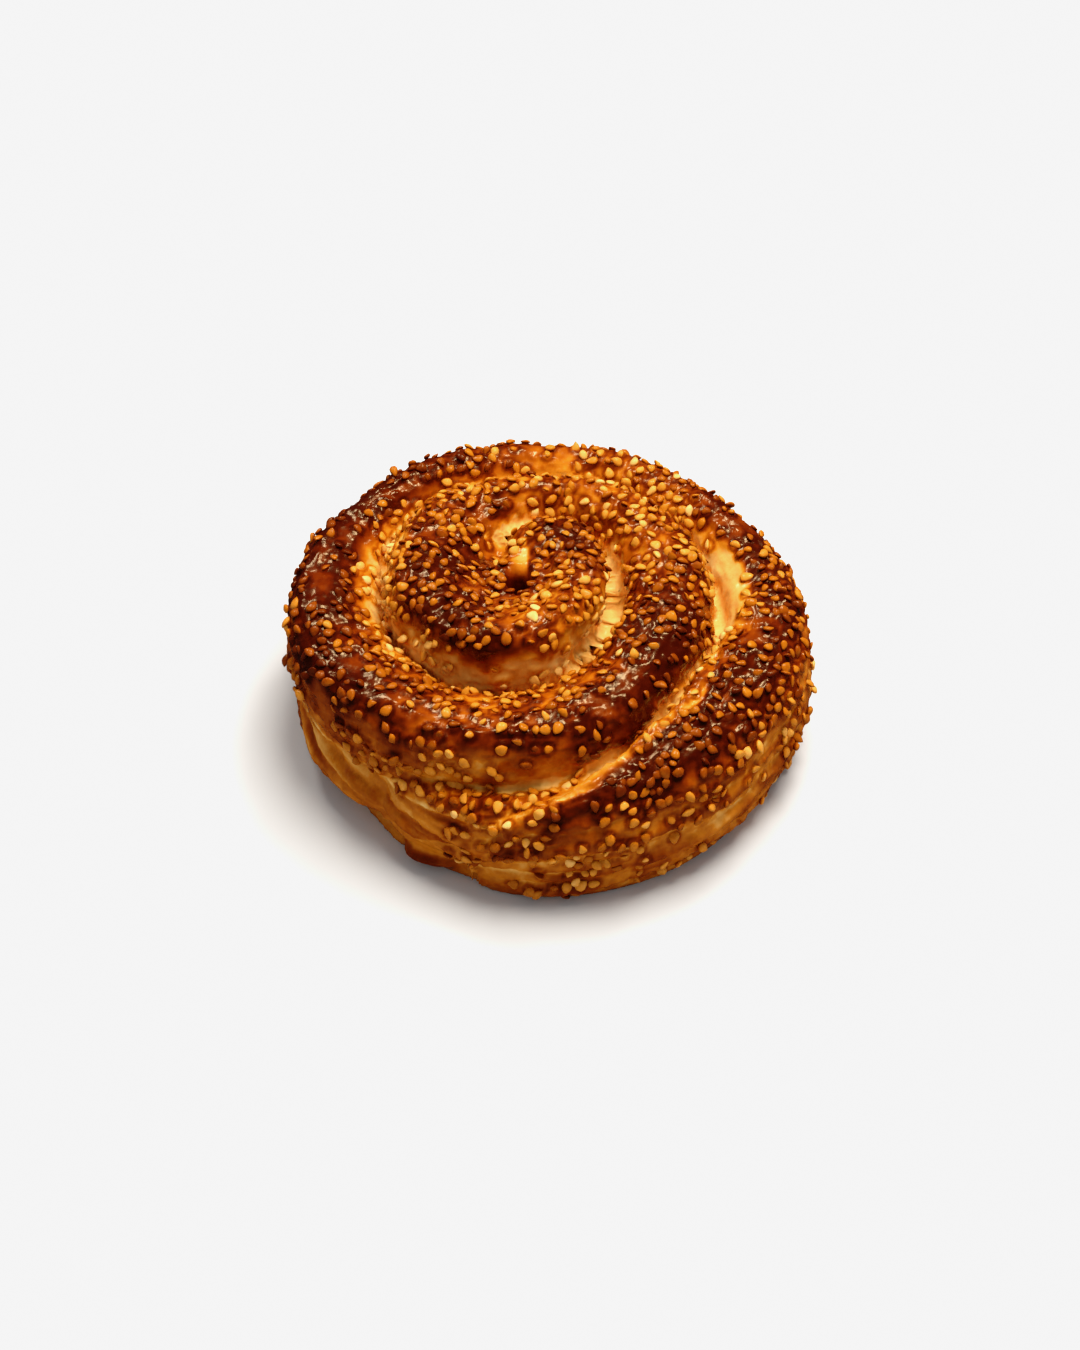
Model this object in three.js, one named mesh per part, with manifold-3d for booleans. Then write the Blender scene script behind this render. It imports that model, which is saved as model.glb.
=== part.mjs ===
// A tahini bun: one rope of dough rolled up by hand into a spiral with a raised knob in the
// middle, its tail tucked under the front, baked until the turns grew together. Sesame seeds
// stick to the crust. Millimetres, +Z up. The bun stands on its flat bottom at z = 0, and the
// middle of its outline is at x = y = 0.
//
// Places on the rope are coil angles in degrees. They run from the tip inside the knob to the
// tail, clockwise as seen from above: 0 is the bun's right (+X), 90 its front (-Y), 180 its
// left, 270 its back, and every further turn adds 360.
import * as THREE from 'three';
import { LoftGeometry } from 'three/addons/geometries/LoftGeometry.js';
import { mergeVertices } from 'three/addons/utils/BufferGeometryUtils.js';
import Module from 'manifold-3d';

// ---- Driving dimensions ----

const COIL_CENTRE = new THREE.Vector2(-9, 3.8);
const TIP_ANGLE = -115;
const TAIL_ANGLE = 822;

// [coil angle, distance from the coil's centre to the rope's outer edge]
const OUTER_EDGE = [
  [TIP_ANGLE, 26], [-72, 32], [-30, 28], [0, 24.8], [36, 24.8], [98, 30.8], [150, 32.3],
  [206, 38.6], [243, 43.8], [270, 46.5], [305, 51], [333, 54], [360, 54.5], [390, 53.4],
  [440, 58.8], [540, 61.8], [590, 61.2], [630, 64.6], [683, 71], [725, 80.8], [764, 79.6],
  [791, 75.5], [812, 71], [TAIL_ANGLE, 68],
];
// [coil angle, height of the rope's crest above the bottom]
const CREST_HEIGHT = [
  [TIP_ANGLE, 47], [-27, 54], [60, 55.5], [180, 53.5], [270, 51], [315, 49.5], [360, 50.5],
  [450, 47], [630, 44.5], [720, 44], [764, 41.5], [791, 37.5], [812, 29], [TAIL_ANGLE, 20],
];
// [coil angle, how far the crest leans outwards, as a share of half the rope's width]
const CREST_LEAN = [
  [TIP_ANGLE, 0.1], [90, 0.55], [200, 0.5], [320, 0.15], [370, 0.15], [450, 0.5], [560, 0.55],
  [720, 0.1], [791, -0.25], [TAIL_ANGLE, 0],
];
// [coil angle, middle distance from the coil's centre, half width, crest height]
const FRONT_FOLD = [
  [768, 59, 4, 32], [787, 61, 5.5, 33.5], [815, 64, 7, 31], [850, 57, 6, 27],
];
const FOLD_DEPTH = 12;           // half the height of the front fold's own section

const KNOB_INNER_EDGE = 0.6;     // the first turn's inner edge, beside the coil's centre
const INNER_LAP = 0.2;           // share of half a width by which a turn laps over the one inside
const TAIL_FLAP = 8;             // how far the tail's lip stands off the turn inside it
const BELLY_LEVEL = 0.46;        // height of the rope's widest level, as a share of its own

const KNOB_CORE = { radius: 19, height: 48.5, dimpleRadius: 5, dimpleDepth: 2 };
const SOLE = { radius: 57, height: 12 };
const HEART = { radius: 46, height: 28 };

const SEED = { length: 3.1, width: 1.9, thickness: 0.95, clearance: 0.3 };
const SEED_COUNT = 48;
const SEED_FIRST_ANGLE = -40;
const SEED_LAST_ANGLE = 790;
const SEED_BAND = [78, 104, 90, 66, 116];   // degrees round the rope's section, 90 is its crest

const SECTION_POINTS = 24;
const SECTION_STEP = 8;          // degrees of coil between two sections
const PIECE_ANGLE = 200;         // the rope is joined from pieces no longer than this
const PIECE_OVERLAP = 3;         // and each reaches this far into the next
const WORKBENCH = 400;           // side of the block that trims the bottom flat

// ---- Curves ----

const { clamp, degToRad, lerp, smoothstep } = THREE.MathUtils;

// A smooth curve through rows of [angle, value] that never swings past them: cubic pieces
// whose slope at a row is the harmonic mean of the slopes on both sides, or 0 at a peak.
function curveThrough(rows, column = 1) {
  const slope = (i) => (rows[i + 1][column] - rows[i][column]) / (rows[i + 1][0] - rows[i][0]);
  const slopeAt = (i) => {
    if (i === 0) return slope(0);
    if (i === rows.length - 1) return slope(i - 1);
    const before = slope(i - 1);
    const after = slope(i);
    return before * after > 0 ? (2 * before * after) / (before + after) : 0;
  };
  return (angle) => {
    const place = clamp(angle, rows[0][0], rows.at(-1)[0]);
    const i = Math.min(rows.findLastIndex((row) => row[0] <= place), rows.length - 2);
    const span = rows[i + 1][0] - rows[i][0];
    const t = (place - rows[i][0]) / span;
    return (1 + 2 * t) * (1 - t) ** 2 * rows[i][column]
      + t * (1 - t) ** 2 * span * slopeAt(i)
      + t * t * (3 - 2 * t) * rows[i + 1][column]
      + t * t * (t - 1) * span * slopeAt(i + 1);
  };
}

const outerEdge = curveThrough(OUTER_EDGE);
const crestHeight = curveThrough(CREST_HEIGHT);
const crestLean = curveThrough(CREST_LEAN);

// The first turn starts beside the centre. From there the rope's inner edge moves out until,
// a turn after the tip, it lies against the outer edge of the turn inside it.
function innerEdge(angle) {
  const beside = outerEdge(Math.max(angle - 360, -72));
  const grown = clamp((angle - 200) / 92, 0, 1) ** 1.6;
  return lerp(KNOB_INNER_EDGE, beside, grown) + TAIL_FLAP * smoothstep(angle, 752, 812);
}

// Both ends of a rope are rounded: 1 along the rope, falling to almost 0 at its ends along a
// quarter circle.
function endRounding(angle, from, to, startLength, endLength) {
  const quarter = (share) => Math.sqrt(1 - (1 - clamp(share, 0, 1)) ** 2);
  const round = quarter((angle - from) / startLength) * quarter((to - angle) / endLength);
  return Math.max(round, 0.02);
}

// A point given by its coil angle, its distance from the coil's centre and its height.
function coilPoint(angle, radius, height) {
  const turn = degToRad(angle);
  const x = COIL_CENTRE.x + radius * Math.cos(turn);
  const y = COIL_CENTRE.y - radius * Math.sin(turn);
  return new THREE.Vector3(x, y, height);
}

const signedPower = (value, power) => Math.sign(value) * Math.abs(value) ** power;

// A point on the rope's skin. The section is nearly an ellipse, widest below the middle,
// whose upper half leans outwards. `around` is 0 at the outer side and 90 degrees at the top.
function ropeSkin(angle, around) {
  const inner = innerEdge(angle);
  const halfWidth = (outerEdge(angle) - inner) / 2;
  const height = crestHeight(angle);
  const round = endRounding(angle, TIP_ANGLE, TAIL_ANGLE, 30, 10);
  const side = Math.cos(degToRad(around));
  const rise = Math.sin(degToRad(around));
  const lap = side < 0 ? 1 + INNER_LAP * clamp((angle - 200) / 90, 0, 1) : 1;
  const lean = crestLean(angle) * Math.max(rise, 0) ** 1.5;
  const across = (signedPower(side, 0.95) * lap + lean) * halfWidth * round;
  const bellyHeight = BELLY_LEVEL * height;
  const upright = signedPower(rise, 0.9) * (height - bellyHeight) * (0.35 + 0.65 * round);
  return coilPoint(angle, inner + halfWidth + across, bellyHeight + upright);
}

const foldRadius = curveThrough(FRONT_FOLD, 1);
const foldHalfWidth = curveThrough(FRONT_FOLD, 2);
const foldHeight = curveThrough(FRONT_FOLD, 3);

// A point on the skin of the narrow fold that lies between the tail's lip and the turn inside.
function foldSkin(angle, around) {
  const round = endRounding(angle, FRONT_FOLD[0][0], FRONT_FOLD.at(-1)[0], 10, 16);
  const across = Math.cos(degToRad(around)) * foldHalfWidth(angle) * round;
  const upright = (Math.sin(degToRad(around)) * round - 1) * FOLD_DEPTH;
  return coilPoint(angle, foldRadius(angle) + across, foldHeight(angle) + upright);
}

// ---- Solids ----

const wasm = await Module();
wasm.setup();

// A closed three.js geometry as a solid that can be joined and cut.
function solidOf(geometry) {
  const bare = new THREE.BufferGeometry().copy(geometry);
  bare.deleteAttribute('normal');
  bare.deleteAttribute('uv');
  const merged = mergeVertices(bare, 1e-5);
  return new wasm.Manifold(new wasm.Mesh({
    numProp: 3,
    vertProperties: new Float32Array(merged.attributes.position.array),
    triVerts: new Uint32Array(merged.index.array),
  }));
}

function geometryOf(solid) {
  const mesh = solid.getMesh();
  const geometry = new THREE.BufferGeometry();
  geometry.setAttribute('position', new THREE.BufferAttribute(mesh.vertProperties, 3));
  geometry.setIndex(new THREE.BufferAttribute(mesh.triVerts, 1));
  geometry.computeVertexNormals();
  return geometry;
}

// A strand of dough between two coil angles, lofted through sections of its skin.
function strand(skin, from, to) {
  const steps = Math.ceil((to - from) / SECTION_STEP);
  const sections = Array.from({ length: steps + 1 }, (_, i) => {
    const angle = lerp(from, to, i / steps);
    return Array.from({ length: SECTION_POINTS }, (_, j) => skin(angle, (j * 360) / SECTION_POINTS));
  });
  return solidOf(new LoftGeometry(sections, { closed: true, capStart: true, capEnd: true }));
}

// The whole rope, joined from pieces short enough that none of them touches itself.
function rope() {
  const count = Math.ceil((TAIL_ANGLE - TIP_ANGLE) / PIECE_ANGLE);
  const ends = Array.from({ length: count + 1 }, (_, i) => lerp(TIP_ANGLE, TAIL_ANGLE, i / count));
  const pieces = ends.slice(1).map((to, i) => strand(ropeSkin, ends[i], to + PIECE_OVERLAP));
  return pieces.reduce((joined, piece) => joined.add(piece));
}

// The dough that fills the middle of the knob: a dome with a small dimple on the coil's centre.
function knobCore() {
  const { radius, height, dimpleRadius, dimpleDepth } = KNOB_CORE;
  const profile = [
    new THREE.Vector2(0, 0),
    new THREE.Vector2(radius, 0),
    new THREE.Vector2(radius, height - 14),
    new THREE.Vector2(radius * 0.85, height - 5),
    new THREE.Vector2(radius * 0.55, height - 0.6),
    new THREE.Vector2(dimpleRadius, height),
    new THREE.Vector2(dimpleRadius * 0.5, height - dimpleDepth * 0.7),
    new THREE.Vector2(0, height - dimpleDepth),
  ];
  return standing(new THREE.LatheGeometry(profile, SECTION_POINTS));
}

// The turns have grown together: a round block of dough between them, on the coil's centre.
function heart() {
  return standing(disc(HEART));
}

// The baked sole closes the seams between the turns at the bottom.
function sole() {
  return solidOf(disc(SOLE).rotateX(Math.PI / 2));
}

// A round block on the ground, with the Y axis up.
function disc({ radius, height }) {
  return new THREE.CylinderGeometry(radius, radius, height, 48).translate(0, height / 2, 0);
}

// Turns a shape made round the Y axis upright and moves it to the coil's centre.
function standing(geometry) {
  return solidOf(geometry.rotateX(Math.PI / 2).translate(COIL_CENTRE.x, COIL_CENTRE.y, 0));
}

// Everything below the plate's surface.
function belowBottom() {
  return solidOf(new THREE.BoxGeometry(WORKBENCH, WORKBENCH, WORKBENCH).translate(0, 0, -WORKBENCH / 2));
}

function bunSolid() {
  const fold = strand(foldSkin, FRONT_FOLD[0][0], FRONT_FOLD.at(-1)[0]);
  return [fold, knobCore(), heart(), sole()]
    .reduce((joined, piece) => joined.add(piece), rope())
    .subtract(belowBottom());
}

// ---- Sesame seeds ----

// One hulled seed: a flattened teardrop along X, blunt at one end and pointed at the other.
function seedGeometry() {
  const rings = 6;
  const profile = Array.from({ length: rings + 1 }, (_, i) => {
    const share = i / rings;
    const plumpness = Math.sin(Math.PI * share) ** 0.8 * (1.18 - 0.36 * share);
    const radius = i === 0 || i === rings ? 0 : (plumpness * SEED.width) / 2;
    return new THREE.Vector2(radius, (share - 0.5) * SEED.length);
  });
  const flatness = SEED.thickness / SEED.width;
  return new THREE.LatheGeometry(profile, 8).rotateZ(-Math.PI / 2).scale(1, 1, flatness);
}

// The crust's outward direction, from two short steps on the rope's skin.
function skinNormal(angle, around) {
  const here = ropeSkin(angle, around);
  const along = ropeSkin(angle + 1, around).sub(here);
  const across = ropeSkin(angle, around + 1).sub(here);
  return across.cross(along).normalize();
}

// A seed lying flat on the crust, a hair above it, turned by its place in the row.
function seedOn(index) {
  const angle = lerp(SEED_FIRST_ANGLE, SEED_LAST_ANGLE, index / (SEED_COUNT - 1));
  const around = SEED_BAND[index % SEED_BAND.length];
  const normal = skinNormal(angle, around);
  const seed = new THREE.Mesh(seedGeometry(), seedMaterial());
  seed.name = `sesame_seed_${String(index + 1).padStart(2, '0')}`;
  seed.quaternion.setFromUnitVectors(new THREE.Vector3(0, 0, 1), normal);
  seed.rotateZ(degToRad(index * 137.5));
  const lift = SEED.thickness / 2 + SEED.clearance;
  seed.position.copy(ropeSkin(angle, around)).addScaledVector(normal, lift);
  return seed;
}

// ---- Materials ----

function crustMaterial() {
  return new THREE.MeshStandardMaterial({ color: 0xa85a1c, roughness: 0.38, metalness: 0 });
}

function seedMaterial() {
  return new THREE.MeshStandardMaterial({ color: 0xd9963f, roughness: 0.4, metalness: 0 });
}

// ---- The bun ----

// Moves everything so that the middle of the outline stands on x = y = 0.
function centred(group) {
  const middle = new THREE.Box3().setFromObject(group).getCenter(new THREE.Vector3());
  group.position.set(-middle.x, -middle.y, 0);
  return group;
}

function tahiniBun() {
  const group = new THREE.Group();
  const bun = new THREE.Mesh(geometryOf(bunSolid()), crustMaterial());
  bun.name = 'bun';
  group.add(bun);
  for (let index = 0; index < SEED_COUNT; index += 1) group.add(seedOn(index));
  return centred(group);
}

export default tahiniBun();
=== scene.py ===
import math
from itertools import product

import bpy
import numpy as np
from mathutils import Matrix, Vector
from mathutils.kdtree import KDTree


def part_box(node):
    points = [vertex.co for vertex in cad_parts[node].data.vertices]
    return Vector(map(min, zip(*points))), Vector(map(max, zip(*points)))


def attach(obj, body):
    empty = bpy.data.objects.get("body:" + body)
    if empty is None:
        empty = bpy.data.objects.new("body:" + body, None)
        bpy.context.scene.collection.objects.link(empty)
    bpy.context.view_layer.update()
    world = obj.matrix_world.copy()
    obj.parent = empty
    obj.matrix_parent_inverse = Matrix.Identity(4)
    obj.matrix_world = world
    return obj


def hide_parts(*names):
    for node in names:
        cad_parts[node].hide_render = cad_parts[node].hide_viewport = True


# A tahini bun: a rope of dough coiled into a spiral and baked under an egg wash, strewn with
# sesame seeds. Shapes are worked out in millimetres in the frame's own axes and turned into
# metres when their mesh is made.
#
# Places on the rope are coil angles in degrees, from the tip inside the knob to the tail,
# clockwise from above: 0 is the bun's right, 90 its front, 180 its left, 270 its back, and
# every further turn adds 360. Places round the rope's section are 0 at its outer side, 90 on
# its crest and 180 at its inner side.

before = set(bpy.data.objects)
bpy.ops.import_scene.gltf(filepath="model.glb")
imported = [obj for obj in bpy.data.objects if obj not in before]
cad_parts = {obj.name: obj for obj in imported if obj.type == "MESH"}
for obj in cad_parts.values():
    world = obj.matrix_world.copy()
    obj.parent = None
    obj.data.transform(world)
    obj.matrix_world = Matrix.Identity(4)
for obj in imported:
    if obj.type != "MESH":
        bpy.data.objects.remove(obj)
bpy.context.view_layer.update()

MM = 0.001
LOW = np.array(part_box("bun")[0]) / MM
COIL_CENTRE = LOW[:2] + (62.6, 72.6)
CAD_SEEDS = sorted(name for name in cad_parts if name.startswith("sesame_seed"))

# The rope: its two ends in coil degrees, the distance of its inner edge in the knob, how far each
# turn laps over the one inside it, how far the tail's end hangs out, and the shape of its section.
TIP, TAIL = -115, 822
KNOB_INNER_EDGE = 0.6
INNER_LAP = 0.2
TAIL_FLAP = 8.0
BELLY_LEVEL = 0.46
SIDE_POWER, TOP_POWER = 0.95, 0.9

# Fillers that close the gaps between the turns: radius and height.
KNOB_DOME = 19, 48.5
COIL_BLOCK = 46, 28
FOOT_BLOCK = 57, 12

# The size of the skin's faces, and the height below which a point lies on the ground.
VOXEL = 0.8
GROUND = 0.001

# The pit in the knob's top.
PIT_DEPTH, PIT_WIDTH = 11, 2.3

# The seeds: their size, how many are thrown, how far apart they lie at least and how much
# further apart some do, and how many of them are glazed over.
SEED_LENGTH, SEED_WIDTH, SEED_THICKNESS = 3.5, 2.35, 1.35
SEED_TRIES = 4200
SEED_SPACING, SPACING_SPREAD = 1.85, 0.9
GLAZED_SHARE = 0.45

# The room's white light on the bun, how white it looks itself, and how bright it gleams on glaze.
ROOM_LIGHT, ROOM_WHITE, ROOM_GLEAM = 0.45, 1.1, 0.03
LAMP_COLOUR = (1, 0.94, 0.86)

# How far from the middle, in metres, the table is matt, and from where on it glows.
TABLE_MATT_TO, TABLE_GLOWS_FROM = 0.18, 0.42

# What each brightness is shown as. Everything from 1 up is shown alike.
SHOWN_AS = ((0.014, 0.0075), (0.06, 0.056), (0.25, 0.262), (0.75, 0.73))
WHITE_SHOWN_AS = 0.91


# ---- Curves and noise ----

def curve_through(*rows):
    """A smooth curve through rows of (place, value) that never swings past them: cubic pieces
    whose slope at a row is the harmonic mean of the slopes on both sides, or 0 at a peak."""
    places, values = np.array(rows, float).T
    spans = np.diff(places)
    slopes = np.diff(values) / spans
    before, after = slopes[:-1], slopes[1:]
    same_way = before * after > 0
    middle = np.where(same_way, 2 * before * after / np.where(same_way, before + after, 1), 0)
    tangents = np.concatenate([slopes[:1], middle, slopes[-1:]])

    def curve(place):
        place = np.clip(place, places[0], places[-1])
        i = np.clip(np.searchsorted(places, place, side="right") - 1, 0, len(spans) - 1)
        t = (place - places[i]) / spans[i]
        return ((1 + 2 * t) * (1 - t) ** 2 * values[i] + t * (1 - t) ** 2 * spans[i] * tangents[i]
                + t * t * (3 - 2 * t) * values[i + 1] + t * t * (t - 1) * spans[i] * tangents[i + 1])
    return curve


def rise_between(value, low, high):
    """0 up to low, 1 from high on, and an S-shaped step between them."""
    share = np.clip((value - low) / (high - low), 0, 1)
    return share * share * (3 - 2 * share)


def hump(value, middle, width):
    """A bell curve: 1 at the middle, 0.37 one width away."""
    return np.exp(-((value - middle) / width) ** 2)


def signed_power(value, power):
    """A power of the value's size that keeps its sign."""
    return np.sign(value) * np.abs(value) ** power


def lattice_noise(points, size, seed):
    """Smooth noise from -1 to 1: random values on a cubic lattice whose cells have the given
    size, blended between the eight corners of a cell with quintic weights."""
    table = np.random.default_rng(seed).uniform(-1, 1, (32, 32, 32))
    place = points / size
    cell = np.floor(place).astype(int)
    inside = place - cell
    weight = inside ** 3 * (inside * (inside * 6 - 15) + 10)
    total = 0
    for corner in product((0, 1), repeat=3):
        x, y, z = ((cell + corner) % 32).T
        total = total + table[x, y, z] * np.prod(np.where(corner, weight, 1 - weight), axis=-1)
    return total


def rough_noise(points, size, seed, octaves=3):
    """Lattice noise added up over octaves, each half the size and 0.55 of the height."""
    return sum(0.55 ** k * lattice_noise(points, size / 2 ** k, seed + k) for k in range(octaves))


def blister_distance(points, size, seed):
    """Distance to the nearest of a set of scattered centres, one in each lattice cell, as a
    share of the cell's size."""
    table = np.random.default_rng(seed).uniform(0.1, 0.9, (16, 16, 16, 3))
    place = points / size
    cell = np.floor(place).astype(int)
    nearest = np.full(len(points), 9.0)
    for step in product((-1, 0, 1), repeat=3):
        x, y, z = ((cell + step) % 16).T
        centre = cell + step + table[x, y, z]
        nearest = np.minimum(nearest, np.linalg.norm(place - centre, axis=-1))
    return nearest


# ---- The rope of dough ----

outer_edge = curve_through(
    (TIP, 26), (-72, 32), (-30, 28), (0, 24.8), (36, 24.8), (98, 30.8), (150, 32.3),
    (206, 38.6), (243, 43.8), (270, 46.5), (305, 51), (333, 54), (360, 54.5), (390, 53.4),
    (440, 58.8), (540, 61.8), (590, 61.2), (630, 64.6), (683, 71), (725, 80.8), (764, 79.6),
    (791, 75.5), (812, 71), (TAIL, 68))
crest_height = curve_through(
    (TIP, 47), (-27, 54), (60, 55.5), (180, 53.5), (270, 51), (315, 49.5), (360, 50.5),
    (450, 47), (630, 44.5), (720, 44), (764, 41.5), (791, 37.5), (812, 29), (TAIL, 20))
crest_lean = curve_through(
    (TIP, 0.1), (90, 0.55), (200, 0.5), (320, 0.15), (370, 0.15), (450, 0.5), (560, 0.55),
    (720, 0.1), (791, -0.25), (TAIL, 0))


def inner_edge(angle):
    """The first turn starts beside the centre. From there the rope's inner edge moves out
    until, a turn after the tip, it lies against the outer edge of the turn inside it."""
    beside = outer_edge(np.maximum(angle - 360, -72))
    grown = np.clip((angle - 200) / 92, 0, 1) ** 1.6
    edge = KNOB_INNER_EDGE * (1 - grown) + beside * grown
    return edge + TAIL_FLAP * rise_between(angle, 752, 812)


def end_rounding(angle, start, end, start_length, end_length):
    """1 along a rope, falling to almost 0 at both ends along a quarter circle."""
    opening = np.sqrt(1 - (1 - np.clip((angle - start) / start_length, 0, 1)) ** 2)
    closing = np.sqrt(1 - (1 - np.clip((end - angle) / end_length, 0, 1)) ** 2)
    return np.maximum(opening * closing, 0.02)


def coil_point(angle, radius, height):
    """A point from its coil angle, its distance from the coil's centre and its height."""
    turn = np.radians(angle)
    x = COIL_CENTRE[0] + radius * np.cos(turn)
    y = COIL_CENTRE[1] - radius * np.sin(turn)
    return np.stack(np.broadcast_arrays(x, y, height), axis=-1)


def rope_skin(angle, around):
    """The rope's section is nearly an ellipse, widest below the middle, whose upper half
    leans outwards by the power 1.5 of its rise."""
    inner = inner_edge(angle)
    half_width = (outer_edge(angle) - inner) / 2
    height = crest_height(angle)
    rounding = end_rounding(angle, TIP, TAIL, 30, 12)
    side, rise = np.cos(np.radians(around)), np.sin(np.radians(around))
    lap = np.where(side < 0, 1 + INNER_LAP * np.clip((angle - 200) / 90, 0, 1), 1)
    lean = crest_lean(angle) * np.maximum(rise, 0) ** 1.5
    across = (signed_power(side, SIDE_POWER) * lap + lean) * half_width * rounding
    belly = BELLY_LEVEL * height
    upright = signed_power(rise, TOP_POWER) * (height - belly) * (0.35 + 0.65 * rounding)
    return coil_point(angle, inner + half_width + across, belly + upright)


def thin_strand(rows, start_length, end_length):
    """The skin of a thin strand laid on the bun, whose section is an ellipse. The rows give its
    coil angle, middle distance, half width, crest height and half height."""
    angles, *columns = zip(*rows)
    distance, half_width, height, depth = (curve_through(*zip(angles, column)) for column in columns)

    def skin(angle, around):
        rounding = end_rounding(angle, angles[0], angles[-1], start_length, end_length)
        across = np.cos(np.radians(around)) * half_width(angle) * rounding
        upright = (np.sin(np.radians(around)) * rounding - 1) * depth(angle)
        return coil_point(angle, distance(angle) + across, height(angle) + upright)
    return skin


front_fold = (
    (768, 59, 4, 32, 12), (787, 61, 5.5, 33.5, 12), (815, 64, 7, 31, 12), (850, 57, 6, 27, 12))
tail_lip = (
    (738, 55, 2, 40, 3.5), (758, 57.8, 2.5, 41.6, 3.5), (774, 59.6, 2.6, 41, 3.5),
    (787, 62.8, 2.6, 39.2, 3.5), (797, 66.6, 2.5, 36.4, 3.5), (806, 69.2, 2.3, 32.6, 3.5),
    (818, 70.4, 1.8, 26, 3))
under_layer = (
    (785, 58, 15, 24, 24), (800, 56.5, 14.5, 24, 24), (812, 55, 13.6, 23, 23),
    (822, 53, 12.8, 22, 22), (832, 51, 12.2, 21, 21), (842, 49.5, 11.8, 19, 19),
    (852, 48, 10.5, 15, 15), (866, 47, 10, 10, 10))
left_layer = (
    (474, 52, 8, 19, 3), (485, 53.5, 9, 20, 6), (506, 54, 10, 20.5, 10), (530, 53.5, 10, 19, 10),
    (560, 53, 9.5, 16, 9), (595, 51, 9, 12, 7))
flange = (
    (462, 60.5, 3.5, 4.5, 2), (467, 63.2, 3.6, 5.8, 2.2), (474, 63.8, 3.8, 6.4, 2.4),
    (481, 61, 3.4, 5, 2))

# The rows of each thin strand, and the lengths over which its two ends round off.
strands = (
    (front_fold, 10, 16), (tail_lip, 14, 8), (under_layer, 10, 14), (left_layer, 12, 24),
    (flange, 5, 5))


def sweep(skin, start, end, steps, sides):
    """Carries a strand's section along the coil: a grid of points, one row per coil angle."""
    angle = np.linspace(start, end, steps)[:, None]
    around = np.linspace(0, 360, sides, endpoint=False)[None, :]
    return skin(angle, around)


def dome(radius, height, steps=24, sides=64):
    """The middle of the knob: a squat dome on the coil's centre, whose height falls with the
    fourth power of the distance."""
    out = np.linspace(1, 0.02, steps)[:, None]
    turn = np.radians(np.linspace(0, 360, sides, endpoint=False))[None, :]
    x = COIL_CENTRE[0] + radius * out * np.cos(turn)
    y = COIL_CENTRE[1] + radius * out * np.sin(turn)
    z = height * (1 - 0.25 * out ** 4)
    top = np.stack(np.broadcast_arrays(x, y, z), axis=-1)
    foot = top[:1] * (1, 1, 0)
    return np.concatenate([foot, top])


def block(middle, radius, height, sides=96):
    """A round block standing on the ground."""
    turn = np.radians(np.linspace(0, 360, sides, endpoint=False))
    x = middle[0] + radius * np.cos(turn)
    y = middle[1] + radius * np.sin(turn)
    ring = np.stack([x, y, 0 * turn], axis=-1)
    return np.stack([ring, ring + (0, 0, height)])


def grid_quads(rows, columns):
    """The four-sided faces of a grid that is closed round its columns."""
    i, j = np.meshgrid(np.arange(rows - 1), np.arange(columns), indexing="ij")
    after = (j + 1) % columns
    near, far = i * columns, (i + 1) * columns
    return np.stack([near + j, near + after, far + after, far + j], -1).reshape(-1, 4)


def closed_faces(rows, columns, first):
    """The faces of a grid that is closed round its columns and capped at its first and last
    row. The first point of the grid has the given number."""
    quads = first + grid_quads(rows, columns)
    last = first + (rows - 1) * columns
    caps = [list(range(first + columns - 1, first - 1, -1)), list(range(last, last + columns))]
    return quads.tolist() + caps


# ---- One skin over all the dough ----

def voxel_skin(grids, voxel):
    """Melts overlapping closed grids into one closed skin of nearly square faces."""
    points, faces = [], []
    for grid in grids:
        faces += closed_faces(grid.shape[0], grid.shape[1], sum(map(len, points)))
        points.append(grid.reshape(-1, 3))
    mesh = bpy.data.meshes.new("dough")
    mesh.from_pydata((np.concatenate(points) * MM).tolist(), [], faces)
    dough = bpy.data.objects.new("dough", mesh)
    bpy.context.scene.collection.objects.link(dough)
    remesh = dough.modifiers.new("melt", "REMESH")
    remesh.mode = "VOXEL"
    remesh.voxel_size = voxel * MM
    finished = dough.evaluated_get(bpy.context.evaluated_depsgraph_get())
    melted = bpy.data.meshes.new_from_object(finished)
    skin = np.empty(len(melted.vertices) * 3)
    melted.vertices.foreach_get("co", skin)
    quads = np.empty(len(melted.loops), dtype=int)
    melted.loops.foreach_get("vertex_index", quads)
    bpy.data.objects.remove(dough)
    return skin.reshape(-1, 3) / MM, quads.reshape(-1, 4)


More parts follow.
